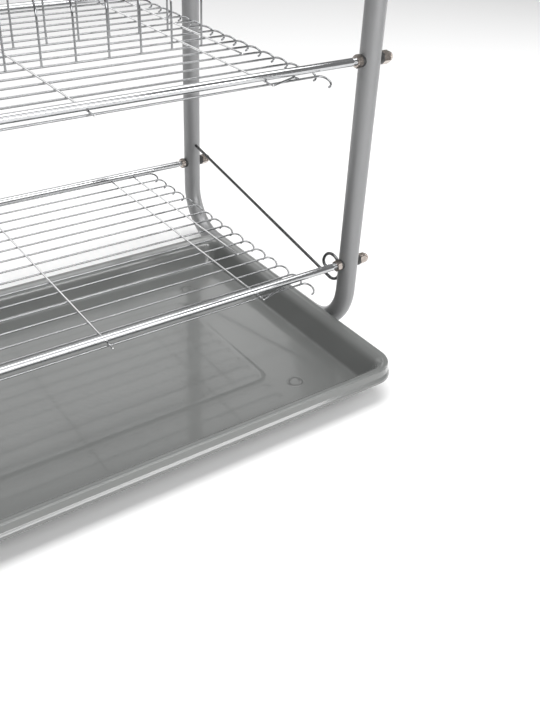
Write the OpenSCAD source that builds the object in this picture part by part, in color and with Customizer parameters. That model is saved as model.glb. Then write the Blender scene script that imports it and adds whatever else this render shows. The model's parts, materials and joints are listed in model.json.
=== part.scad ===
// Two-tier dish drying rack: bent tube side frames, chrome bars, wire shelves and a drip tray
// that slides out to the front. X runs along the rack, -Y is the front, Z is up from the table.

/* [Frame] */
// Distance between the axes of the two side frames
rack_w = 520; // [440:10:700]
// Distance between the axes of the front and rear uprights
rack_d = 300; // [280:5:340]
// Height of the whole rack
rack_h = 400; // [390:5:460]
// Height of the lower bars' axis above the table
lower_bar_z = 93; // [85:1:100]
// Height of the upper bars' axis above the lower bars
tier_gap = 195; // [170:5:210]
// Outer diameter of the side frame tube
tube_d = 19; // [16:1:20]
// Wall thickness of the side frame tube
tube_wall = 1.2; // [1:0.1:2]
// Bend radius of the side frame tube, at its centre line
bend_r = 52; // [45:1:60]
// Height at which the lower and upper halves of a side frame meet
joint_z = 205; // [180:5:230]

/* [Bars and fasteners] */
// Diameter of the bars
bar_d = 7; // [6.5:0.5:8]
// Diameter of the thread on each bar end
thread_d = 6; // [5:0.5:6]
// Width across flats of the nuts
nut_flats = 10; // [9:1:13]
// Thickness of the inner nuts
nut_t = 5; // [4:0.5:6]

/* [Wire work] */
// Diameter of the shelf wires
wire_d = 1.8; // [1.6:0.1:2.4]
// Number of long wires in a shelf
wire_count = 16; // [14:1:18]
// Diameter of the scrolled side stays
stay_d = 3.2; // [2.6:0.2:3.6]
// Radius of the scroll at the front end of a side stay
scroll_r = 13.1; // [12:0.1:15]
// Slope of a side stay, in degrees
stay_rise = 11; // [6:1:12]
// Number of loops in the plate divider
divider_count = 12; // [6:2:14]
// Height of the plate divider's loops above the upper shelf
divider_h = 66; // [55:1:75]

/* [Tray] */
// Depth of the tray, front to back
tray_d = 326; // [300:2:350]
// Height of the tray's rim above the table
tray_h = 35; // [30:1:38]
// Height of the tray's floor above the table
tray_floor = 7; // [6:1:9]
// Width of the tray's rim
rim_w = 8; // [7:1:9]
// Height of the lip that hangs from the rim
lip_h = 13; // [8:1:16]
// How far the tray is drawn out to the front
tray_out = 89; // [0:1:120]

/* [Hidden] */
$fn = 64;

// Colours of the materials
tube_grey = [0.42, 0.43, 0.44];
tray_grey = [0.5, 0.51, 0.51];
chrome = [0.85, 0.86, 0.88];
dark = [0.06, 0.06, 0.06];

// The whole rack, its tray drawn out, is centred on the origin front to back
side_x = rack_w / 2;
tube_r = tube_d / 2;
bore_r = tube_r - tube_wall;
foot_t = 1.5;
base_z = foot_t + tube_r;
top_z = rack_h - tube_r;
centre_y = (tray_out + tray_d / 2 - rack_d / 2 - tube_r) / 2;
front_y = centre_y - rack_d / 2;
rear_y = centre_y + rack_d / 2;
upper_bar_z = lower_bar_z + tier_gap;

// The bars' places across the rack, each as [y, z]
lower_bars = [[front_y, lower_bar_z], [rear_y, lower_bar_z]];
upper_bars = [[front_y, upper_bar_z], [rear_y, upper_bar_z]];
bars = concat(lower_bars, upper_bars);

// The stack on a bar's end, from the tube's axis: saddle, nut and neck inside, saddle and cap outside
bar_r = bar_d / 2;
thread_r = thread_d / 2;
hole_gap = 0.2;
saddle_r = 6;
saddle_wrap = 1.8;
inner_saddle_t = 1.5;
outer_saddle_t = 3;
neck_l = 3.6;
cap_dome_r = nut_flats * 0.475;
cap_hex_t = 7.3;
thread_in_cap = 6;
nut_x = tube_r + inner_saddle_t;
cap_x = tube_r + outer_saddle_t;
bar_l = rack_w - 2 * (nut_x + nut_t + neck_l);
thread_l = rack_w + 2 * (cap_x + thread_in_cap);

// Shelves: long wires below, cross wires on top of them, and the bars on the cross wires.
// Neighbouring wires are separate solids, one touch gap apart. Where a wire starts to bend, the
// bend is that much thinner and begins a few degrees, the lap, inside the straight stretch.
wire_r = wire_d / 2;
touch = 0.02;
lap = 2;
wire_out = 3;
wire_pitch = (rack_d + 2 * wire_out) / (wire_count - 1);
shelf_half = side_x - 58;
hook_r = 0.355 * wire_pitch;
hook_sweep = 164;
hook_dip = 22.5;
cross_x = side_x - 108;
cross_over = 8;
rear_cross_x = side_x - 80;
rear_cross_wire = 4;
hanger_r = 0.8;
hanger_x = cross_x + 26;
hanger_angle = 55;

// Side stays: a scroll against the rear of the front upright, then a straight run to the rear one
stay_r = stay_d / 2;
scroll_y = front_y + tube_r + stay_r + scroll_r;
scroll_z = lower_bar_z - 15.5;
scroll_end = -30;

// Plate divider: hairpin loops across the middle of the upper shelf
divider_pitch = (2 * shelf_half - 74) / (divider_count - 1);
divider_r = (1.5 + (wire_count % 2) / 2) * wire_pitch;

// Tray
side_gap = 2.2;
tray_w = rack_w - 2 * (tube_r + side_gap);
tray_y = centre_y - tray_out;
tray_front = tray_y - tray_d / 2;
tray_rear = tray_y + tray_d / 2;
tray_t = 2;
floor_in = 21.8;
rim_corner = 25;
floor_corner = 12;
tray_foot_r = 9;
tray_foot_in = 34;
panel_side_in = 94.8;
panel_end_in = 80;
panel_h = 0.8;
panel_corner = 12;

// Feet
foot_l = 26;
foot_w = 14;
foot_top = 3;
foot_y = 16;

// The children at the right end, or mirrored at the left end
module at_side(side) {
    if (side > 0) children();
    else mirror([1, 0, 0]) children();
}

// A straight round rod between two points
module rod(a, b, r) {
    d = b - a;
    translate(a) rotate([0, acos(d.z / norm(d)), atan2(d.y, d.x)])
        cylinder(h = norm(d), r = r);
}

// An arc of round section in a side frame's plane; angles run from the rear towards the top
module side_arc(centre, path_r, r, start, sweep) {
    translate([side_x, centre.x, centre.y]) rotate([90, 0, 90]) rotate([0, 0, start])
        rotate_extrude(angle = sweep) translate([path_r, 0]) circle(r);
}

// Half of a side frame above the joint: two uprights, two bends and the level run between them
module frame_run(rise, r) {
    bend_z = joint_z + rise - bend_r;
    for (y = [front_y, rear_y]) rod([side_x, y, joint_z], [side_x, y, bend_z], r);
    rod([side_x, front_y + bend_r, joint_z + rise], [side_x, rear_y - bend_r, joint_z + rise], r);
    side_arc([front_y + bend_r, bend_z], bend_r, r, 90, 90);
    side_arc([rear_y - bend_r, bend_z], bend_r, r, 0, 90);
}

// The run of a half frame, turned over about the joint for the lower half
module half_run(level_z, r) {
    if (level_z > joint_z) frame_run(level_z - joint_z, r);
    else translate([0, 0, 2 * joint_z]) mirror([0, 0, 1]) frame_run(joint_z - level_z, r);
}

// A hollow half frame with holes through both walls for the bars' threaded ends
module half_frame(side, level_z, places) {
    color(tube_grey) at_side(side) difference() {
        half_run(level_z, tube_r);
        half_run(level_z, bore_r);
        for (p = places)
            rod([side_x - tube_d, p.x, p.y], [side_x + tube_d, p.x, p.y], thread_r + hole_gap);
    }
}

// A plastic spigot inside the joint of the two half frames
module joiner(side, y) {
    half_l = 25;
    joiner_r = bore_r - 0.1;
    color(dark) at_side(side) difference() {
        rod([side_x, y, joint_z - half_l], [side_x, y, joint_z + half_l], joiner_r);
        rod([side_x, y, joint_z - half_l - 1], [side_x, y, joint_z + half_l + 1], joiner_r - 2.5);
    }
}

// A bar with a thinner threaded length at each end
module bar(place) {
    color(chrome) union() {
        rod([-bar_l / 2, place.x, place.y], [bar_l / 2, place.x, place.y], bar_r);
        rod([-thread_l / 2, place.x, place.y], [thread_l / 2, place.x, place.y], thread_r);
    }
}

// A hexagon prism along X with its outer corners chamfered at one or both ends
module hexagon(x, t, both_ends) {
    corner_r = nut_flats / 2 / cos(30);
    chamfer = corner_r - nut_flats / 2;
    low = both_ends ? chamfer / 2 : 0;
    translate([x, 0, 0]) rotate([0, 90, 0]) intersection() {
        cylinder(h = t, r = corner_r, $fn = 6);
        rotate_extrude() polygon([
            [0, 0], [corner_r - 2 * low, 0], [corner_r, low],
            [corner_r, t - chamfer / 2], [corner_r - chamfer, t], [0, t]
        ]);
    }
}

// The nuts between the bars' necks and the inner saddles of one side
module inner_nuts(side) {
    color(chrome) at_side(side) for (p = bars) translate([side_x, p.x, p.y]) mirror([1, 0, 0])
        difference() {
            hexagon(nut_x, nut_t, true);
            rod([nut_x - 1, 0, 0], [nut_x + nut_t + 1, 0, 0], thread_r + touch);
        }
}

// The domed cap nuts outside one side frame
module cap_nuts(side) {
    color(chrome) at_side(side) for (p = bars) translate([side_x, p.x, p.y]) difference() {
        union() {
            hexagon(cap_x, cap_hex_t, false);
            translate([cap_x + cap_hex_t, 0, 0]) sphere(cap_dome_r);
        }
        rod([cap_x - 1, 0, 0], [cap_x + thread_in_cap + touch, 0, 0], thread_r + touch);
    }
}

// The washers of one side that fit the tube's round wall, inside or outside the frame
module saddles(side, t, inside) {
    color(dark) at_side(side) for (p = bars) translate([side_x, p.x, p.y])
        mirror([inside ? 1 : 0, 0, 0]) difference() {
            rod([tube_r - saddle_wrap, 0, 0], [tube_r + t, 0, 0], saddle_r);
            cylinder(h = 4 * saddle_r, r = tube_r, center = true);
            rod([0, 0, 0], [2 * tube_d, 0, 0], thread_r + hole_gap);
        }
}

// One long shelf wire with a hooked end at each side, bent to the front and a little down
module long_wire(y, z) {
    rod([-shelf_half, y, z], [shelf_half, y, z], wire_r);
    for (side = [-1, 1]) at_side(side)
        translate([shelf_half, y, z]) rotate([hook_dip, 0, 0]) translate([0, -hook_r, 0])
            rotate([0, 0, 90 - hook_sweep]) rotate_extrude(angle = hook_sweep + lap)
                translate([hook_r, 0]) circle(wire_r - touch);
}

// A bent wire that ties the shelf's cross wire and long wire to the underside of a bar
module hanger(bar_y, bar_z, long_z, cross_z, out) {
    reach = bar_r + hanger_r + touch;
    top = [hanger_x, bar_y + out * reach * cos(hanger_angle), bar_z - reach * sin(hanger_angle)];
    rod([cross_x, bar_y + out * (wire_out + cross_over), cross_z], top, hanger_r);
    end = [hanger_x + 4, bar_y + out * wire_out, long_z + wire_r + hanger_r];
    rod(top + [hanger_r, 0, 0], end, hanger_r);
}

// A welded wire shelf hung below the bars at the given height
module shelf(bar_z) {
    cross_z = bar_z - bar_r - wire_r - touch;
    long_z = cross_z - wire_d - touch;
    first_y = front_y - wire_out;
    last_y = rear_y + wire_out;
    color(chrome) union() {
        for (i = [0:wire_count - 1]) long_wire(first_y + i * wire_pitch, long_z);
        for (x = [-cross_x, 0, cross_x])
            rod([x, first_y - cross_over, cross_z], [x, last_y + cross_over, cross_z], wire_r);
        for (x = [-rear_cross_x, rear_cross_x])
            rod([x, first_y + rear_cross_wire * wire_pitch - 3, cross_z],
                [x, last_y + cross_over, cross_z], wire_r);
        for (side = [-1, 1]) at_side(side) {
            hanger(front_y, bar_z, long_z, cross_z, -1);
            hanger(rear_y, bar_z, long_z, cross_z, 1);
        }
    }
}

// Hairpin loops welded to two wires of the upper shelf, to hold plates on edge
module plate_divider() {
    long_top = upper_bar_z - bar_r - wire_d - 2 * touch;
    bend_z = long_top + divider_h - divider_r;
    color(chrome) for (i = [0:divider_count - 1])
        translate([(i - (divider_count - 1) / 2) * divider_pitch, centre_y, 0]) {
            for (end = [-1, 1])
                rod([0, end * divider_r, long_top + touch], [0, end * divider_r, bend_z], wire_r);
            translate([0, 0, bend_z]) rotate([90, 0, 90]) rotate_extrude(angle = 180)
                translate([divider_r, 0]) circle(wire_r);
        }
}

// The thin wire of a side frame: a scroll behind the front upright and a straight run rearwards
module side_stay(side) {
    along = [cos(stay_rise), sin(stay_rise)];
    start = [scroll_y, scroll_z] + scroll_r * [along.y, -along.x];
    run = (rear_y - tube_r - start.x) / along.x;
    end = start + run * along;
    sweep = 270 + stay_rise - scroll_end;
    color(chrome) at_side(side) union() {
        rod([side_x, start.x, start.y], [side_x, end.x, end.y], stay_r);
        side_arc([scroll_y, scroll_z], scroll_r, stay_r - touch, scroll_end, sweep + lap);
    }
}

// A slab with round corners, centred on x = 0, between a front and a rear edge
module slab(z, t, w, front, rear, corner) {
    d = rear - front;
    translate([-w / 2, front, z]) {
        translate([corner, 0, 0]) cube([w - 2 * corner, d, t]);
        translate([0, corner, 0]) cube([w, d - 2 * corner, t]);
        for (x = [corner, w - corner], y = [corner, d - corner])
            translate([x, y, 0]) cylinder(h = t, r = corner);
    }
}

// A slab with its edges measured in from the tray's rim
module sheet(z, t, inset, corner) {
    slab(z, t, tray_w - 2 * inset, tray_front + inset, tray_rear - inset, corner);
}

// A tapered tub between two heights, with its insets and corner radii at the bottom and the top
module tub(low_z, low_in, low_corner, high_z, high_in, high_corner) {
    slice = 0.01;
    hull() {
        sheet(low_z, slice, low_in, low_corner, $fn = 32);
        sheet(high_z - slice, slice, high_in, high_corner, $fn = 32);
    }
}

// The drip tray: a shallow tub with a flat rim, a hanging lip, a raised floor panel and feet
module drip_tray() {
    floor_z = tray_floor - tray_t;
    color(tray_grey) difference() {
        union() {
            tub(floor_z, floor_in - 1, floor_corner, tray_h, rim_w - 2, rim_corner - rim_w + 2);
            difference() {
                sheet(tray_h - lip_h, lip_h, 0, rim_corner);
                sheet(tray_h - lip_h - 1, lip_h - 1, tray_t, rim_corner - tray_t);
            }
            for (x = [-1, 1], y = [-1, 1])
                translate([x * (tray_w / 2 - tray_foot_in), tray_y + y * (tray_d / 2 - tray_foot_in), 0])
                    cylinder(h = floor_z + 1, r = tray_foot_r);
        }
        difference() {
            tub(tray_floor, floor_in, floor_corner - 1, tray_h + 1, rim_w - 0.5, rim_corner - rim_w);
            slab(0, tray_floor + panel_h, tray_w - 2 * panel_side_in, tray_front + panel_end_in,
                tray_rear - panel_end_in, panel_corner);
        }
    }
}

// A soft foot clipped round the base run of a side frame, with a flat sole
module foot(side, y) {
    color(dark) at_side(side) translate([side_x, y, 0]) difference() {
        union() {
            intersection() {
                rod([0, -foot_l / 2, base_z], [0, foot_l / 2, base_z], tube_r + foot_t);
                translate([-tube_d, -foot_l / 2, 0]) cube([2 * tube_d, foot_l, base_z + foot_top]);
            }
            translate([-foot_w / 2, -foot_l / 2, 0]) cube([foot_w, foot_l, base_z / 2]);
        }
        rod([0, -foot_l, base_z], [0, foot_l, base_z], tube_r);
    }
}

drip_tray();
half_frame(-1, base_z, lower_bars);  // left_lower_tube
half_frame(1, base_z, lower_bars);  // right_lower_tube
half_frame(-1, top_z, upper_bars);  // left_upper_tube
half_frame(1, top_z, upper_bars);  // right_upper_tube
joiner(-1, front_y);  // left_front_joiner
joiner(-1, rear_y);  // left_rear_joiner
joiner(1, front_y);  // right_front_joiner
joiner(1, rear_y);  // right_rear_joiner
bar(lower_bars[0]);  // lower_front_bar
bar(lower_bars[1]);  // lower_rear_bar
bar(upper_bars[0]);  // upper_front_bar
bar(upper_bars[1]);  // upper_rear_bar
shelf(lower_bar_z);  // lower_shelf
shelf(upper_bar_z);  // upper_shelf
plate_divider();
side_stay(-1);  // left_side_stay
side_stay(1);  // right_side_stay
inner_nuts(-1);  // left_inner_nuts
inner_nuts(1);  // right_inner_nuts
cap_nuts(-1);  // left_cap_nuts
cap_nuts(1);  // right_cap_nuts
saddles(-1, inner_saddle_t, true);  // left_inner_saddles
saddles(1, inner_saddle_t, true);  // right_inner_saddles
saddles(-1, outer_saddle_t, false);  // left_outer_saddles
saddles(1, outer_saddle_t, false);  // right_outer_saddles
foot(-1, front_y + bend_r + foot_y);  // left_front_foot
foot(-1, rear_y - bend_r - foot_y);  // left_rear_foot
foot(1, front_y + bend_r + foot_y);  // right_front_foot
foot(1, rear_y - bend_r - foot_y);  // right_rear_foot
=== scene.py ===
"""The looks of a two-tier dish drying rack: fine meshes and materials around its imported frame."""

import json
import math

import bpy
from mathutils import Matrix, Vector

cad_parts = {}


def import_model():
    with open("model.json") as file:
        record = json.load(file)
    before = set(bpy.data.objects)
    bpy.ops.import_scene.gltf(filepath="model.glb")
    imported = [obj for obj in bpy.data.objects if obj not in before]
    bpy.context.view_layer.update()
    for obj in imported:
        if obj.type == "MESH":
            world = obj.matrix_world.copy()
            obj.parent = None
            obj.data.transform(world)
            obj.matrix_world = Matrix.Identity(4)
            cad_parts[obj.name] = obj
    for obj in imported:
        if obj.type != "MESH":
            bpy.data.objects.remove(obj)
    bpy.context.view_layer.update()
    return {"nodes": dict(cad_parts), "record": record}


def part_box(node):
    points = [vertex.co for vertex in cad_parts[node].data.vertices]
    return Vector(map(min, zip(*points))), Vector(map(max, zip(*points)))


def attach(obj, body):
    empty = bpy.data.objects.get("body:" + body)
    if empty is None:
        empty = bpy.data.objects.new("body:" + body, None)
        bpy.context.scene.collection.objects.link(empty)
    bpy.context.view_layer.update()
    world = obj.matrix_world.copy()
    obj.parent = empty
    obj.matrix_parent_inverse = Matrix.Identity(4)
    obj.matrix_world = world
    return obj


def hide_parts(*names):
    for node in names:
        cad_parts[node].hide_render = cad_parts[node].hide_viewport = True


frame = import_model()

MM = 0.001
DEG = math.pi / 180

# ---------------------------------------------------------------- places, from the frame


def middle(node):
    """The centre of a CAD node's box."""
    low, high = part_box(node)
    return (low + high) / 2


def extent(node):
    """The lengths of the sides of a CAD node's box."""
    low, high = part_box(node)
    return high - low


def side_name(side):
    """The name of a hand: -1 is the left and 1 the right."""
    return "right" if side > 0 else "left"


TUBE_X = middle("right_lower_tube").x
TUBE_R = extent("right_lower_tube").x / 2
FRONT_Y = middle("lower_front_bar").y
REAR_Y = middle("lower_rear_bar").y
CENTRE_Y = (FRONT_Y + REAR_Y) / 2
LOWER_Z = middle("lower_front_bar").z
UPPER_Z = middle("upper_front_bar").z
BAR_R = extent("lower_front_bar").z / 2
BARS = {
    "lower_front_bar": (FRONT_Y, LOWER_Z),
    "lower_rear_bar": (REAR_Y, LOWER_Z),
    "upper_front_bar": (FRONT_Y, UPPER_Z),
    "upper_rear_bar": (REAR_Y, UPPER_Z),
}
HANDS = (-1, 1)
ALONG = Vector((1, 0, 0))
BACK = Vector((0, 1, 0))
UP = Vector((0, 0, 1))

# ---------------------------------------------------------------- mesh tools

SHARP_ANGLE = 38
DOUBLED = 1e-6


class Shape:
    """Points and faces gathered into one mesh."""

    def __init__(self):
        self.points = []
        self.faces = []

    def add(self, points, faces):
        first = len(self.points)
        self.points.extend(tuple(map(float, p)) for p in points)
        self.faces.extend(tuple(first + i for i in f) for f in faces)

    def grid(self, rows, cap_low=False, cap_high=False):
        """Closed rows of points with the same count each, joined by quads, capped on request."""
        count = len(rows[0])
        faces = []
        for r in range(len(rows) - 1):
            for i in range(count):
                j = (i + 1) % count
                a, b = r * count, (r + 1) * count
                faces.append((a + i, a + j, b + j, b + i))
        if cap_low:
            faces.append(tuple(reversed(range(count))))
        if cap_high:
            last = (len(rows) - 1) * count
            faces.append(tuple(range(last, last + count)))
        self.add([p for row in rows for p in row], faces)

    def piece(self, name, material, body, nodes=()):
        """The finished object: smooth, riding on its body, standing for the CAD nodes it replaces."""
        mesh = bpy.data.meshes.new(name)
        mesh.from_pydata(self.points, [], self.faces)
        mesh.validate()
        mesh.polygons.foreach_set("use_smooth", [True] * len(mesh.polygons))
        mesh.materials.append(material)
        obj = bpy.data.objects.new(name, mesh)
        bpy.context.scene.collection.objects.link(obj)
        sharpen(obj)
        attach(obj, body)
        if nodes:
            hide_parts(*nodes)
        return obj


def sharpen(obj):
    """Edges steeper than the sharp angle are drawn sharp."""
    limit = math.cos(SHARP_ANGLE * DEG)
    mesh = obj.data
    normals = [p.normal.copy() for p in mesh.polygons]
    beside = {}
    for face in mesh.polygons:
        for key in face.edge_keys:
            beside.setdefault(key, []).append(face.index)
    for edge in mesh.edges:
        pair = beside.get(edge.key, [])
        if len(pair) == 2 and normals[pair[0]].dot(normals[pair[1]]) < limit:
            edge.use_edge_sharp = True


def turn(points, axis, angle, about):
    """Points turned by an angle in degrees about an axis through a point."""
    spin = Matrix.Rotation(angle * DEG, 3, axis)
    return [spin @ (p - about) + about for p in points]


def arc(centre, radius, u, v, start, end, step=6):
    """Points on a circle from one angle to another, in degrees, with u at 0 and v at 90."""
    count = max(2, math.ceil(abs(end - start) / step) + 1)
    angles = [(start + (end - start) * i / (count - 1)) * DEG for i in range(count)]
    return [centre + radius * (math.cos(a) * u + math.sin(a) * v) for a in angles]


def circle(centre, u, v, radius, sides):
    """Points evenly round a circle, the first of them along u."""
    angles = [2 * math.pi * k / sides for k in range(sides)]
    return [centre + radius * (math.cos(a) * u + math.sin(a) * v) for a in angles]


def merge(*runs):
    """Runs of points as one path, without doubled points where they meet."""
    path = []
    for run in runs:
        for p in run:
            if not path or (p - path[-1]).length > DOUBLED:
                path.append(p)
    return path


def wire(shape, path, radius, sides=14):
    """A round wire along a path, its ends domed."""
    path = [Vector(p) for p in path]
    tangents = []
    for i in range(len(path)):
        a, b = path[max(i - 1, 0)], path[min(i + 1, len(path) - 1)]
        tangents.append((b - a).normalized())
    side = tangents[0].orthogonal().normalized()
    rings = []
    dome = [75, 50, 25]
    dome_h = radius * 0.7
    for d in dome:
        rings.append((path[0] - tangents[0] * dome_h * math.sin(d * DEG),
                      side, tangents[0], radius * math.cos(d * DEG)))
    for i, p in enumerate(path):
        t = tangents[i]
        side = (side - t * side.dot(t)).normalized()
        rings.append((p, side, t, radius))
    for d in reversed(dome):
        rings.append((path[-1] + tangents[-1] * dome_h * math.sin(d * DEG),
                      side, tangents[-1], radius * math.cos(d * DEG)))
    rows = [circle(p, s, t.cross(s), r, sides) for p, s, t, r in rings]
    shape.grid(rows, cap_low=True, cap_high=True)


def revolve(shape, centre, axis, profile, sides=48):
    """A turned solid: its profile lists (distance along the axis, radius)."""
    u = axis.orthogonal().normalized()
    v = axis.cross(u)
    rows = [circle(centre + axis * t, u, v, r, sides) for t, r in profile]
    shape.grid(rows, cap_low=True, cap_high=True)


def blob(shape, centre, u, v, w):
    """An ellipsoid with the given half axes, closed by small flats at its poles."""
    bands = 6
    pole = 88
    rows = []
    for i in range(bands + 1):
        lat = (-pole + 2 * pole * i / bands) * DEG
        rows.append(circle(centre + w * math.sin(lat), u, v, math.cos(lat), 12))
    shape.grid(rows, cap_low=True, cap_high=True)


# ---------------------------------------------------------------- materials

# Nearly all of the noise's values lie between these two
NOISE_LOW = 0.3
NOISE_HIGH = 0.7


def new_material(name, **values):
    """A principled material, with plain values on the shader's own sockets."""
    material = bpy.data.materials.new(name)
    material.use_nodes = True
    shader = material.node_tree.nodes["Principled BSDF"]
    for key, value in values.items():
        shader.inputs[key.replace("_", " ")].default_value = value
    return material, material.node_tree, shader


def scaled(tint, factor):
    """A colour made darker or lighter."""
    return tuple(factor * c for c in tint)


def coordinates(tree):
    """Positions in metres on the piece itself."""
    return tree.nodes.new("ShaderNodeTexCoord").outputs["Object"]


def noise(tree, scale, detail, stretch=(1, 1, 1)):
    """Noise with features of about 1/scale metres, stretched along the axes."""
    mapping = tree.nodes.new("ShaderNodeMapping")
    mapping.inputs["Scale"].default_value = stretch
    texture = tree.nodes.new("ShaderNodeTexNoise")
    texture.inputs["Scale"].default_value = scale
    texture.inputs["Detail"].default_value = detail
    texture.inputs["Roughness"].default_value = 0.5
    tree.links.new(coordinates(tree), mapping.inputs["Vector"])
    tree.links.new(mapping.outputs["Vector"], texture.inputs["Vector"])
    return texture.outputs["Fac"]


def spread(tree, source, low, high):
    """Noise mapped onto a range of numbers."""
    node = tree.nodes.new("ShaderNodeMapRange")
    node.inputs["From Min"].default_value = NOISE_LOW
    node.inputs["From Max"].default_value = NOISE_HIGH
    node.inputs["To Min"].default_value = low
    node.inputs["To Max"].default_value = high
    tree.links.new(source, node.inputs["Value"])
    return node.outputs["Result"]


def shades(tree, source, dark, light):
    """Noise mapped onto a range between two colours."""
    ramp = tree.nodes.new("ShaderNodeValToRGB")
    ramp.color_ramp.elements[0].position = NOISE_LOW
    ramp.color_ramp.elements[0].color = (*dark, 1)
    ramp.color_ramp.elements[1].position = NOISE_HIGH
    ramp.color_ramp.elements[1].color = (*light, 1)
    tree.links.new(source, ramp.inputs["Fac"])
    return ramp.outputs["Color"]


def bump(tree, shader, source, depth):
    """Fine relief of the given depth in metres."""
    node = tree.nodes.new("ShaderNodeBump")
    node.inputs["Distance"].default_value = depth
    node.inputs["Strength"].default_value = 1.0
    tree.links.new(source, node.inputs["Height"])
    tree.links.new(node.outputs["Normal"], shader.inputs["Normal"])


def chrome(name, tint, rough_low, rough_high):
    """Bright plate with faint drawing lines and cloudy polish."""
    material, tree, shader = new_material(name, Metallic=1.0)
    cloud = noise(tree, 60, 4)
    tree.links.new(shades(tree, cloud, scaled(tint, 0.86), tint), shader.inputs["Base Color"])
    shine = spread(tree, noise(tree, 900, 2), rough_low, rough_high)
    tree.links.new(shine, shader.inputs["Roughness"])
    bump(tree, shader, noise(tree, 1500, 2, stretch=(0.15, 1, 1)), 0.000004)
    return material


def plated_steel(name, tint):
    """Duller plate for nuts, with a warm cast in its clouds."""
    material, tree, shader = new_material(name, Metallic=1.0)
    dark = (0.62 * tint[0], 0.6 * tint[1], 0.58 * tint[2])
    tree.links.new(shades(tree, noise(tree, 350, 5), dark, tint), shader.inputs["Base Color"])
    tree.links.new(spread(tree, noise(tree, 700, 3), 0.12, 0.24), shader.inputs["Roughness"])
    bump(tree, shader, noise(tree, 2500, 3), 0.000012)
    return material


def frame_paint(name, tint):
    """Satin grey paint with orange peel and a fine metallic fleck."""
    material, tree, shader = new_material(name, Metallic=0.35, Coat_Weight=0.35, Coat_Roughness=0.22)
    fleck = noise(tree, 5200, 1)
    tree.links.new(shades(tree, fleck, scaled(tint, 0.9), scaled(tint, 1.12)),
                   shader.inputs["Base Color"])
    tree.links.new(spread(tree, noise(tree, 240, 3), 0.34, 0.44), shader.inputs["Roughness"])
    bump(tree, shader, noise(tree, 900, 2), 0.00002)
    return material


def tray_plastic(name, tint, rough):
    """Glossy moulded plastic with faint flow clouds."""
    material, tree, shader = new_material(name, IOR=1.5, Coat_Weight=0.6, Coat_Roughness=0.07)
    cloud = noise(tree, 9, 3)
    tree.links.new(shades(tree, cloud, scaled(tint, 0.96), scaled(tint, 1.03)),
                   shader.inputs["Base Color"])
    tree.links.new(spread(tree, noise(tree, 22, 2), rough, rough + 0.05), shader.inputs["Roughness"])
    bump(tree, shader, noise(tree, 260, 2), 0.000006)
    return material


def black_moulding(name, tint, rough, grain):
    """Dark matt plastic or rubber with a fine grain."""
    material, tree, shader = new_material(name, IOR=1.5)
    tree.links.new(shades(tree, noise(tree, 300, 4), tint, scaled(tint, 1.8)),
                   shader.inputs["Base Color"])
    tree.links.new(spread(tree, noise(tree, 500, 2), rough - 0.08, rough + 0.08),
                   shader.inputs["Roughness"])
    bump(tree, shader, noise(tree, grain, 3), 0.00003)
    return material


CHROME = chrome("bar_chrome", (0.55, 0.555, 0.565), 0.06, 0.13)
# A darker copy of the chrome for the long wires, hangers, welds and loops: painted shade for their dark
# reflections.
SHADED_WIRE = chrome("wire_chrome", (0.3, 0.304, 0.31), 0.08, 0.17)
# The cross wires are the same steel wire as the long wires: their much lighter tint is a painted highlight.
LIT_CROSS_WIRE = chrome("cross_wire_painted_highlight_chrome", (0.8, 0.803, 0.81), 0.1, 0.2)
# A still darker copy of the chrome for the side stays: painted shade for their dark reflections.
SHADED_STAY = chrome("stay_chrome", (0.17, 0.172, 0.175), 0.18, 0.3)
NUT = plated_steel("nut_plate", (0.6, 0.54, 0.5))
PAINT = frame_paint("frame_paint", (0.235, 0.237, 0.24))
PLASTIC = tray_plastic("tray_plastic", (0.155, 0.16, 0.156), 0.18)
MARK = tray_plastic("tray_mark", (0.12, 0.123, 0.12), 0.3)
BLACK = black_moulding("black_plastic", (0.012, 0.012, 0.012), 0.45, 1600)
RUBBER = black_moulding("rubber", (0.016, 0.016, 0.017), 0.7, 2200)

# ---------------------------------------------------------------- bars and fasteners

THREAD_R = 3.0 * MM
THREAD_PITCH = 1.0 * MM
THREAD_DEPTH = 0.5 * MM
NUT_FLAT_R = 5.0 * MM
NUT_T = 5.0 * MM
HOLE_EDGE = 0.5 * MM
INNER_SADDLE_T = 1.5 * MM
INNER_SADDLE_R = 5.2 * MM
OUTER_SADDLE_T = 3.0 * MM
OUTER_SADDLE_R = 5.6 * MM
NECK_L = 3.6 * MM
CAP_HEX_T = 7.3 * MM
CAP_DOME_R = 4.75 * MM
NUT_IN = TUBE_X - TUBE_R - INNER_SADDLE_T
CAP_IN = TUBE_X + TUBE_R + OUTER_SADDLE_T
SHOULDER_X = NUT_IN - NUT_T - NECK_L


def thread(shape, start, axis, length, sides=28, steps=8):
    """A rod with a real screw thread along an axis, its end chamfered."""
    u = axis.orthogonal().normalized()
    v = axis.cross(u)
    rows = []
    count = round(length / THREAD_PITCH * steps)
    for i in range(count + 1):
        t = length * i / count
        row = []
        for k in range(sides):
            a = 2 * math.pi * k / sides
            wave = abs(((t / THREAD_PITCH - k / sides) % 1.0) * 2 - 1)
            r = THREAD_R - THREAD_DEPTH * min(1.0, 1.25 * wave)
            r = min(r, THREAD_R - THREAD_DEPTH + 0.8 * (length - t))
            row.append(start + axis * t + r * (math.cos(a) * u + math.sin(a) * v))
        rows.append(row)
    shape.grid(rows, cap_low=True, cap_high=True)


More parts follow.
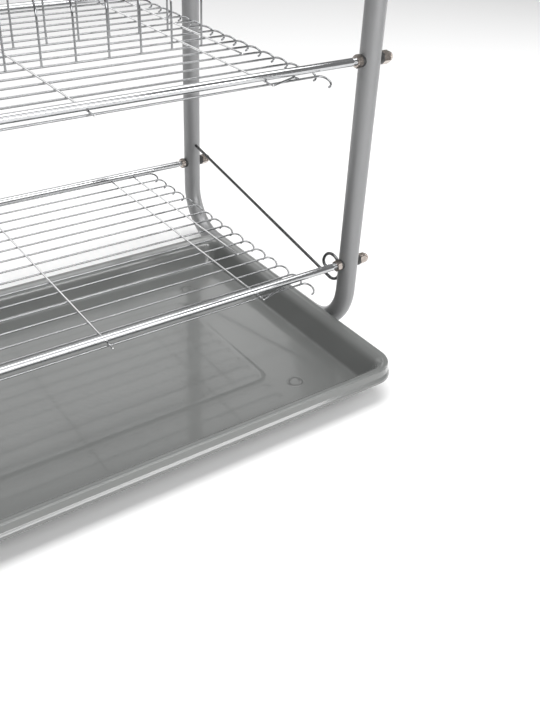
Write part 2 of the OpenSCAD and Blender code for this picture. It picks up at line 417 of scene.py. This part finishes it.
def bar(node):
    """A chrome bar with chamfered shoulders and threaded ends."""
    y, z = BARS[node]
    shape = Shape()
    centre = Vector((0, y, z))
    chamfer = 0.6 * MM
    body = [(-SHOULDER_X, BAR_R - chamfer), (-SHOULDER_X + chamfer, BAR_R)]
    spans = 12
    for i in range(1, spans):
        body.append((-SHOULDER_X + chamfer + (2 * SHOULDER_X - 2 * chamfer) * i / spans, BAR_R))
    body += [(SHOULDER_X - chamfer, BAR_R), (SHOULDER_X, BAR_R - chamfer)]
    revolve(shape, centre, ALONG, body)
    end = extent(node).x / 2
    inside = 1.0 * MM
    for side in HANDS:
        thread(shape, centre + ALONG * side * (SHOULDER_X - inside), ALONG * side,
               end - SHOULDER_X + inside)
    shape.piece(node + "_turned", CHROME, "rack", [node])


def hexagon_r(angle):
    """Distance from a hexagon's centre to its outline in a direction, in degrees."""
    return NUT_FLAT_R / math.cos(((angle + 30) % 60 - 30) * DEG)


def hexagon_rows(centre, axis, length, hole_r, sides=96):
    """Rows of points over a hexagon nut's faces, its corners cut by 30 degree cones at both ends."""
    u = axis.orthogonal().normalized()
    v = axis.cross(u)
    face_r = 0.95 * NUT_FLAT_R
    angles = [360 * k / sides for k in range(sides)]

    def row(place, radius):
        return [centre + axis * place(a) + radius(a) * (math.cos(a * DEG) * u + math.sin(a * DEG) * v)
                for a in angles]

    def cut(a):
        return (hexagon_r(a) - face_r) * math.tan(30 * DEG)

    rows = [row(lambda a: HOLE_EDGE, lambda a: hole_r), row(lambda a: 0, lambda a: hole_r + HOLE_EDGE)]
    rows += [row(lambda a: 0, lambda a: face_r), row(cut, hexagon_r)]
    rows += [row(lambda a: length - cut(a), hexagon_r), row(lambda a: length, lambda a: face_r)]
    return rows, row


def inner_nuts(side):
    """The hexagon nuts inside one side frame."""
    name = side_name(side) + "_inner_nuts"
    shape = Shape()
    for y, z in BARS.values():
        axis = ALONG * side
        centre = Vector((side * (NUT_IN - NUT_T), y, z))
        rows, row = hexagon_rows(centre, axis, NUT_T, THREAD_R)
        rows.append(row(lambda a: NUT_T, lambda a: THREAD_R + HOLE_EDGE))
        rows.append(row(lambda a: NUT_T - HOLE_EDGE, lambda a: THREAD_R))
        rows.append(rows[0])
        shape.grid(rows)
    shape.piece(name + "_fine", NUT, "rack", [name])


def cap_nuts(side):
    """The domed cap nuts outside one side frame."""
    name = side_name(side) + "_cap_nuts"
    shape = Shape()
    for y, z in BARS.values():
        axis = ALONG * side
        centre = Vector((side * CAP_IN, y, z))
        rows, row = hexagon_rows(centre, axis, CAP_HEX_T, THREAD_R + 0.3 * MM)
        rows.append(row(lambda a: CAP_HEX_T, lambda a: CAP_DOME_R - 0.25 * MM))
        for lat in range(8, 90, 8):
            rows.append(row(lambda a: CAP_HEX_T + CAP_DOME_R * math.sin(lat * DEG),
                            lambda a: CAP_DOME_R * math.cos(lat * DEG)))
        shape.grid(rows, cap_high=True)
    shape.piece(name + "_fine", NUT, "rack", [name])


def saddles(side, inside):
    """The dark washers of one side, with softened edges and a back that fits the tube."""
    place = "inner" if inside else "outer"
    name = side_name(side) + "_" + place + "_saddles"
    thick = INNER_SADDLE_T if inside else OUTER_SADDLE_T
    radius = INNER_SADDLE_R if inside else OUTER_SADDLE_R
    hole_r = THREAD_R + 0.2 * MM
    wrap = 1.5 * MM
    edge = 0.5 * MM
    shape = Shape()
    out = -side if inside else side
    for y, z in BARS.values():
        axis = ALONG * out
        centre = Vector((side * TUBE_X, y, z))
        profile = [(TUBE_R - wrap, radius), (TUBE_R + thick - edge, radius),
                   (TUBE_R + thick - edge * 0.3, radius - edge * 0.3), (TUBE_R + thick, radius - edge),
                   (TUBE_R + thick, hole_r), (TUBE_R - wrap, hole_r)]
        profile.append(profile[0])
        shape.grid([circle(centre + axis * t, BACK, axis.cross(BACK), r, 48) for t, r in profile])
    shape.piece(name + "_fine", BLACK, "rack", [name])


for bar_name in BARS:
    bar(bar_name)
for hand in HANDS:
    inner_nuts(hand)
    cap_nuts(hand)
    saddles(hand, True)
    saddles(hand, False)

# ---------------------------------------------------------------- wire shelves

WIRE_R = 0.9 * MM
WIRE_COUNT = 16
WIRE_OUT = 3.0 * MM
PITCH = (REAR_Y - FRONT_Y + 2 * WIRE_OUT) / (WIRE_COUNT - 1)
CROSS_DROP = BAR_R + WIRE_R
WELD = 0.25 * MM
LONG_DROP = CROSS_DROP + 2 * WIRE_R - WELD
SHELF_HALF = TUBE_X - 58 * MM
HOOK_R = 7.3 * MM
HOOK_SWEEP = 164
HOOK_DIP = 22.5
CROSS_X = 152 * MM
CROSS_OVER = 8 * MM
REAR_CROSS_X = 180 * MM
REAR_CROSS_WIRE = 4
REAR_CROSS_OVER = 3 * MM
HANGER_R = 0.8 * MM
LOOP_COUNT = 12


def mirrored(path, side):
    """A path as it is at the right, or mirrored at the left."""
    return [Vector((side * p.x, p.y, p.z)) for p in path]


def hook(y, z):
    """The bent end of a long wire at the right: forwards and down towards the next wire."""
    start = Vector((SHELF_HALF, y, z))
    path = arc(start - BACK * HOOK_R, HOOK_R, ALONG, BACK, 90, 90 - HOOK_SWEEP)
    return turn(path, ALONG, HOOK_DIP, start)


def long_wire(shape, y, z):
    """One wire along the shelf with a hook at each end."""
    right = hook(y, z)
    left = list(reversed(mirrored(right, -1)))
    spans = [Vector((x * SHELF_HALF / 8, y, z)) for x in range(-7, 8)]
    wire(shape, merge(left, spans, right), WIRE_R)


def weld(shape, x, y, z):
    """The squeezed metal where a cross wire is welded on a long wire."""
    blob(shape, Vector((x, y, z)), ALONG * WIRE_R * 1.25, BACK * WIRE_R * 1.25, UP * WIRE_R * 0.75)


def hanger(shape, side, y, bar_z, out):
    """The bent wire that ties the shelf to the underside of a bar."""
    reach = BAR_R + HANGER_R
    under = 55 * DEG
    start = Vector((CROSS_X, y + out * (WIRE_OUT + CROSS_OVER), bar_z - CROSS_DROP))
    top = Vector((CROSS_X + 26 * MM, y + out * reach * math.cos(under), bar_z - reach * math.sin(under)))
    end = Vector((CROSS_X + 30 * MM, y + out * WIRE_OUT, bar_z - LONG_DROP + WIRE_R))
    bend = [start.lerp(top, t) for t in (0, 0.3, 0.6, 0.9)]
    bend += [(start.lerp(top, 0.97) + top.lerp(end, 0.2)) / 2, top.lerp(end, 0.4), end]
    wire(shape, mirrored(bend, side), HANGER_R, 12)
    blob(shape, mirrored([top], side)[0], ALONG * 1.5 * MM, BACK * 1.1 * MM, UP * 1.1 * MM)


def shelf(node, bar_z):
    """A welded shelf of hooked long wires in a darker chrome copy (painted shade), and the cross wires on
    top of them in a lighter chrome copy (painted highlight).
    """
    shape = Shape()
    across = Shape()
    long_z = bar_z - LONG_DROP
    cross_z = bar_z - CROSS_DROP
    rows = [FRONT_Y - WIRE_OUT + i * PITCH for i in range(WIRE_COUNT)]
    for y in rows:
        long_wire(shape, y, long_z)
    runs = [(x, rows[0] - CROSS_OVER) for x in (-CROSS_X, 0, CROSS_X)]
    runs += [(x, rows[REAR_CROSS_WIRE] - REAR_CROSS_OVER) for x in (-REAR_CROSS_X, REAR_CROSS_X)]
    end = rows[-1] + CROSS_OVER
    for x, start in runs:
        path = [Vector((x, start + (end - start) * i / 10, cross_z)) for i in range(11)]
        wire(across, path, WIRE_R)
        for y in rows:
            if y > start:
                weld(shape, x, y, (cross_z + long_z) / 2)
    for side in HANDS:
        hanger(shape, side, FRONT_Y, bar_z, -1)
        hanger(shape, side, REAR_Y, bar_z, 1)
    # The long wires, welds and hangers take the darker chrome copy, a painted shade.
    shape.piece(node + "_wires", SHADED_WIRE, "rack", [node])
    # The cross wires take the lighter chrome copy, a painted highlight.
    across.piece(node + "_cross_wires", LIT_CROSS_WIRE, "rack")


def plate_divider():
    """A row of hairpin loops, each welded to two long wires."""
    shape = Shape()
    low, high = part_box("plate_divider")
    pitch = (high.x - low.x - 2 * WIRE_R) / (LOOP_COUNT - 1)
    loop_r = (high.y - low.y) / 2 - WIRE_R
    bend_z = high.z - WIRE_R - loop_r
    foot_z = UPPER_Z - LONG_DROP + WIRE_R * 0.8
    levels = [foot_z + (bend_z - foot_z) * t / 4 for t in range(5)]
    for i in range(LOOP_COUNT):
        x = low.x + WIRE_R + i * pitch
        rear, front = [[Vector((x, CENTRE_Y + end * loop_r, z)) for z in levels] for end in (1, -1)]
        top = arc(Vector((x, CENTRE_Y, bend_z)), loop_r, BACK, UP, 0, 180)
        wire(shape, merge(rear, top, reversed(front)), WIRE_R)
        for foot in (rear[0], front[0]):
            blob(shape, foot, ALONG * WIRE_R * 1.3, BACK * WIRE_R * 1.3, UP * WIRE_R * 0.7)
    # The divider loops take the darker chrome copy, a painted shade.
    shape.piece("plate_divider_loops", SHADED_WIRE, "rack", ["plate_divider"])


shelf("lower_shelf", LOWER_Z)
shelf("upper_shelf", UPPER_Z)
plate_divider()

# ---------------------------------------------------------------- scrolled side stays

STAY_R = 1.6 * MM
SCROLL_R = 13.1 * MM
SCROLL_DROP = 15.5 * MM
STAY_RISE = 11
CURL_R = 4.9 * MM
CURL_FROM = 8
CURL_TO = -150


def side_stay(side):
    """The thin wire of a side frame, rolled into a scroll behind the front upright."""
    name = side_name(side) + "_side_stay"
    centre = Vector((TUBE_X, FRONT_Y + TUBE_R + STAY_R + SCROLL_R, LOWER_Z - SCROLL_DROP))
    joint = math.cos(CURL_FROM * DEG) * BACK + math.sin(CURL_FROM * DEG) * UP
    inner = centre + (SCROLL_R - CURL_R) * joint
    curl = arc(inner, CURL_R, BACK, UP, CURL_TO, CURL_FROM)
    scroll = arc(centre, SCROLL_R, BACK, UP, CURL_FROM, 270 + STAY_RISE)
    start = scroll[-1]
    run = math.cos(STAY_RISE * DEG) * BACK + math.sin(STAY_RISE * DEG) * UP
    length = (REAR_Y - TUBE_R - start.y) / run.y
    straight = [start + run * length * t / 12 for t in range(13)]
    shape = Shape()
    wire(shape, mirrored(merge(curl, scroll, straight), side), STAY_R, 20)
    # The stay takes the darkest chrome copy, a painted shade.
    shape.piece(name + "_scroll", SHADED_STAY, "rack", [name])


for hand in HANDS:
    side_stay(hand)

# ---------------------------------------------------------------- drip tray

TRAY_LOW, TRAY_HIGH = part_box("drip_tray")
TRAY_Y = (TRAY_LOW.y + TRAY_HIGH.y) / 2
TRAY_HALF_W = TRAY_HIGH.x
TRAY_HALF_D = (TRAY_HIGH.y - TRAY_LOW.y) / 2
TRAY_H = TRAY_HIGH.z
TRAY_FLOOR = 7 * MM
TRAY_T = 2 * MM
LIP_H = 13 * MM
RIM_CORNER = 25 * MM
LEAST_CORNER = 9 * MM
PANEL_IN_X = 94.8 * MM
PANEL_IN_Y = 80 * MM
PANEL_CORNER = 12 * MM
PANEL_H = 0.3 * MM


def outline(inset_x, inset_y, corner, z):
    """A rounded rectangle at a height, measured in from the tray's rim, always with the same count."""
    corner_steps = 14
    long_steps = 24
    short_steps = 14
    half_w = TRAY_HALF_W - inset_x
    half_d = TRAY_HALF_D - inset_y
    points = []
    quarter = [((1, 1), 0), ((-1, 1), 90), ((-1, -1), 180), ((1, -1), 270)]
    for i, ((sx, sy), start) in enumerate(quarter):
        centre = Vector((sx * (half_w - corner), TRAY_Y + sy * (half_d - corner), z))
        for k in range(corner_steps + 1):
            a = (start + 90 * k / corner_steps) * DEG
            points.append(centre + corner * Vector((math.cos(a), math.sin(a), 0)))
        (nx, ny), after = quarter[(i + 1) % 4]
        nxt = Vector((nx * (half_w - corner), TRAY_Y + ny * (half_d - corner), z))
        nxt += corner * Vector((math.cos(after * DEG), math.sin(after * DEG), 0))
        last = points[-1].copy()
        steps = long_steps if i % 2 == 0 else short_steps
        points += [last.lerp(nxt, t / steps) for t in range(1, steps)]
    return points


def rounded(corner_in, corner_z, start, end, radius, count):
    """Profile points (inset, z) on a round between two directions, in degrees."""
    angles = [start + (end - start) * k / (count - 1) for k in range(count)]
    return [(corner_in + radius * math.cos(a * DEG), corner_z + radius * math.sin(a * DEG)) for a in angles]


def drip_tray():
    """The tray as one moulded shell: stepped lip, rim, round shoulder, steep wall, floor with a panel."""
    lip_z = TRAY_H - LIP_H
    hem = TRAY_T / 2
    # Each row is a side inset, a front and rear inset and a height. The insets and heights in
    # the lists below are in millimetres, the ledge's from the lip's foot, the others from the rim.
    profile = [(TRAY_T, TRAY_T, lip_z + 6 * MM), (TRAY_T, TRAY_T, lip_z + hem)]
    profile += [(i, i, z) for i, z in rounded(hem, lip_z + hem, 0, -180, hem, 7)[1:]]
    profile += [(0, 0, lip_z + 1.6 * MM), (0, 0, lip_z + 2.6 * MM)]
    ledge = [(0.03, 0.25, 3.3), (0.15, 0.9, 4.2), (0.3, 1.65, 5.2), (0.42, 2.25, 6.0), (0.5, 2.5, 6.5),
             (0.5, 2.6, 7.2), (0.5, 2.6, 9.0)]
    profile += [(side * MM, end * MM, lip_z + up * MM) for side, end, up in ledge]
    edge = 1.6 * MM
    # The rim's outer edge
    for i, z in rounded(edge, TRAY_H - edge, 180, 90, edge, 7):
        profile.append((i + 0.5 * MM, i + 2.6 * MM, z))
    shoulder = [(6.2, 0), (7.0, 0.06), (7.8, 0.32), (8.9, 0.85), (10.2, 1.6), (11.5, 2.6), (12.6, 3.8),
                (13.5, 5.2), (14.2, 6.8), (14.9, 9.0), (16.4, 14.5), (17.8, 19.5), (18.9, 23.4)]
    profile += [(i * MM, i * MM, TRAY_H - down * MM) for i, down in shoulder]
    fillet = [(19.4, 25.1), (19.9, 26.5), (20.6, 27.4), (21.5, 27.85), (22.8, 28.0), (26.0, 28.0)]
    profile += [(i * MM, i * MM, TRAY_H - down * MM) for i, down in fillet]
    rows = []
    for side, end, z in profile:
        rows.append(outline(side, end, max(RIM_CORNER - side, LEAST_CORNER), z))
    # The panel's soft edge: millimetres inwards, and shares of the panel's height
    steps = ((-5.0, 0), (-2.2, 0), (-1.4, 0.12), (0, 0.5), (1.4, 0.88), (2.2, 1), (5.0, 1))
    for inwards, up in steps:
        rows.append(panel_row(inwards * MM, TRAY_FLOOR + up * PANEL_H))
    rows.append(panel_row(26 * MM, TRAY_FLOOR + PANEL_H))
    shape = Shape()
    shape.grid(rows, cap_high=True)
    floor_z = TRAY_FLOOR - TRAY_T
    under = [(2.0, -7.0), (2.6, -2.6), (3.6, -2.0), (5.8, -2.0), (7.2, -2.9), (9.6, -4.6), (11.8, -8.0),
             (13.0, -12.0), (16.6, -25.0), (18.0, -28.6), (20.0, -30.0), (24.0, -30.0)]
    low_rows = [outline(i * MM, i * MM, max(RIM_CORNER - i * MM, LEAST_CORNER), TRAY_H + z * MM)
                for i, z in under]
    low_rows.append(panel_row(0, floor_z))
    shape.grid([list(r) for r in reversed(low_rows)], cap_low=True)
    tray_feet(shape, floor_z)
    shape.piece("drip_tray_shell", PLASTIC, "tray", ["drip_tray"])


def panel_row(inwards, z):
    """The outline of the floor's raised panel, moved inwards by a little."""
    corner = PANEL_CORNER - inwards * 0.3
    return outline(PANEL_IN_X + inwards, PANEL_IN_Y + inwards, corner, z)


def tray_feet(shape, floor_z):
    """Four round feet with softened edges under the tray."""
    foot_in = 34 * MM
    foot_r = 9 * MM
    edge = 1.2 * MM
    for sx in HANDS:
        for sy in HANDS:
            centre = Vector((sx * (TRAY_HALF_W - foot_in), TRAY_Y + sy * (TRAY_HALF_D - foot_in), 0))
            profile = [(0, foot_r - edge), (edge * 0.4, foot_r - edge * 0.3), (edge, foot_r),
                       (floor_z, foot_r + 0.3 * MM)]
            revolve(shape, centre, UP, profile, 40)


def ring_marks():
    """The low moulded rings on the tray's floor, one beside each corner of the panel."""
    shape = Shape()
    mark_x = 171 * MM
    mark_in = 61 * MM
    ring_r = 6.2 * MM
    half = 1.5 * MM
    rise = 0.3 * MM
    # The ring's section: shares of the half width across, and of the rise upwards
    section = ((-1.2, -0.2), (-1.0, 0.1), (-0.7, 0.8), (0, 1.0), (0.7, 0.8), (1.0, 0.1), (1.2, -0.2))
    for sx in HANDS:
        for sy in HANDS:
            centre = Vector((sx * mark_x, TRAY_Y + sy * (TRAY_HALF_D - mark_in), TRAY_FLOOR))
            shape.grid([circle(centre + UP * up * rise, ALONG, BACK, ring_r + step * half, 40)
                        for step, up in section])
    shape.piece("tray_ring_marks", MARK, "tray")


drip_tray()
ring_marks()

# ---------------------------------------------------------------- materials of the CAD nodes that stay


def repaint(material, node):
    """Gives a CAD node a material in all of its slots."""
    obj = frame["nodes"][node]
    if not obj.material_slots:
        obj.data.materials.append(material)
    for place in obj.material_slots:
        place.material = material


SLOT_MATERIALS = {"frame_paint": PAINT, "black_plastic": BLACK, "rubber": RUBBER}
for part in frame["record"]["subparts"]:
    if part["material_slot"] in SLOT_MATERIALS:
        repaint(SLOT_MATERIALS[part["material_slot"]], part["node"])

# ---------------------------------------------------------------- floor, light and camera

FLOOR_HALF = 6.0
# The camera's place from the lower front bar's end in the right tube, and its angles in degrees
EYE = Vector((-0.49785, -0.54835, 0.38999))
AZIMUTH = -36.67
ELEVATION = 34.77
ROLL = 2.94
LENS = 42.06


def floor():
    """A plain pale floor under the rack."""
    mesh = bpy.data.meshes.new("floor")
    half = FLOOR_HALF
    corners = [(-half, -half, 0), (half, -half, 0), (half, half, 0), (-half, half, 0)]
    mesh.from_pydata(corners, [], [(0, 1, 2, 3)])
    obj = bpy.data.objects.new("floor", mesh)
    bpy.context.scene.collection.objects.link(obj)
    material = new_material("floor_paper", Roughness=0.9, IOR=1.3, Base_Color=(0.93, 0.93, 0.93, 1))[0]
    mesh.materials.append(material)


def softbox(name, place, target, width, height, watts):
    """A large soft white area light aimed at a point."""
    light = bpy.data.lights.new(name, "AREA")
    light.shape = "RECTANGLE"
    light.size = width
    light.size_y = height
    light.energy = watts
    obj = bpy.data.objects.new(name, light)
    obj.location = place
    aim = Vector(target) - Vector(place)
    obj.rotation_euler = aim.to_track_quat("-Z", "Y").to_euler()
    bpy.context.scene.collection.objects.link(obj)


def world(level):
    """An even grey surround."""
    scene_world = bpy.data.worlds.new("studio")
    bpy.context.scene.world = scene_world
    scene_world.use_nodes = True
    background = scene_world.node_tree.nodes["Background"]
    background.inputs["Color"].default_value = (1, 1, 1, 1)
    background.inputs["Strength"].default_value = level


def camera():
    """The camera at the photograph's place and angle."""
    a, e, r = AZIMUTH * DEG, ELEVATION * DEG, ROLL * DEG
    ahead = Vector((-math.sin(a) * math.cos(e), math.cos(a) * math.cos(e), -math.sin(e)))
    level = Vector((math.cos(a), math.sin(a), 0))
    above = level.cross(ahead)
    right = math.cos(r) * level + math.sin(r) * above
    top = math.cos(r) * above - math.sin(r) * level
    data = bpy.data.cameras.new("camera")
    data.sensor_width = 36
    data.lens = LENS
    data.clip_start = 0.01
    data.clip_end = 50
    obj = bpy.data.objects.new("camera", data)
    turned = Matrix((right, top, -ahead)).transposed().to_4x4()
    obj.matrix_world = Matrix.Translation(Vector((TUBE_X, FRONT_Y, LOWER_Z)) + EYE) @ turned
    bpy.context.scene.collection.objects.link(obj)
    bpy.context.scene.camera = obj


floor()
# Each box: name, place and target in metres, width, height, watts
softbox("overhead", (0.1, 0.1, 1.8), (0.1, 0.0, 0), 2.6, 1.1, 33)
softbox("rear_wide", (0.3, 2.6, 1.75), (0.1, 0, 0.1), 3.6, 1.3, 16)
softbox("front_fill", (-0.1, -1.9, 2.1), (0, -0.2, 0), 2.8, 1.3, 16)
softbox("front_low", (0.3, -1.55, 0.54), (0.0, -0.2, 0.03), 1.4, 0.38, 13)
softbox("side_strip", (1.9, -0.2, 0.7), (0.2, 0, 0.2), 0.35, 1.2, 6)
world(0.3)
camera()
bpy.context.scene.view_settings.view_transform = "Standard"
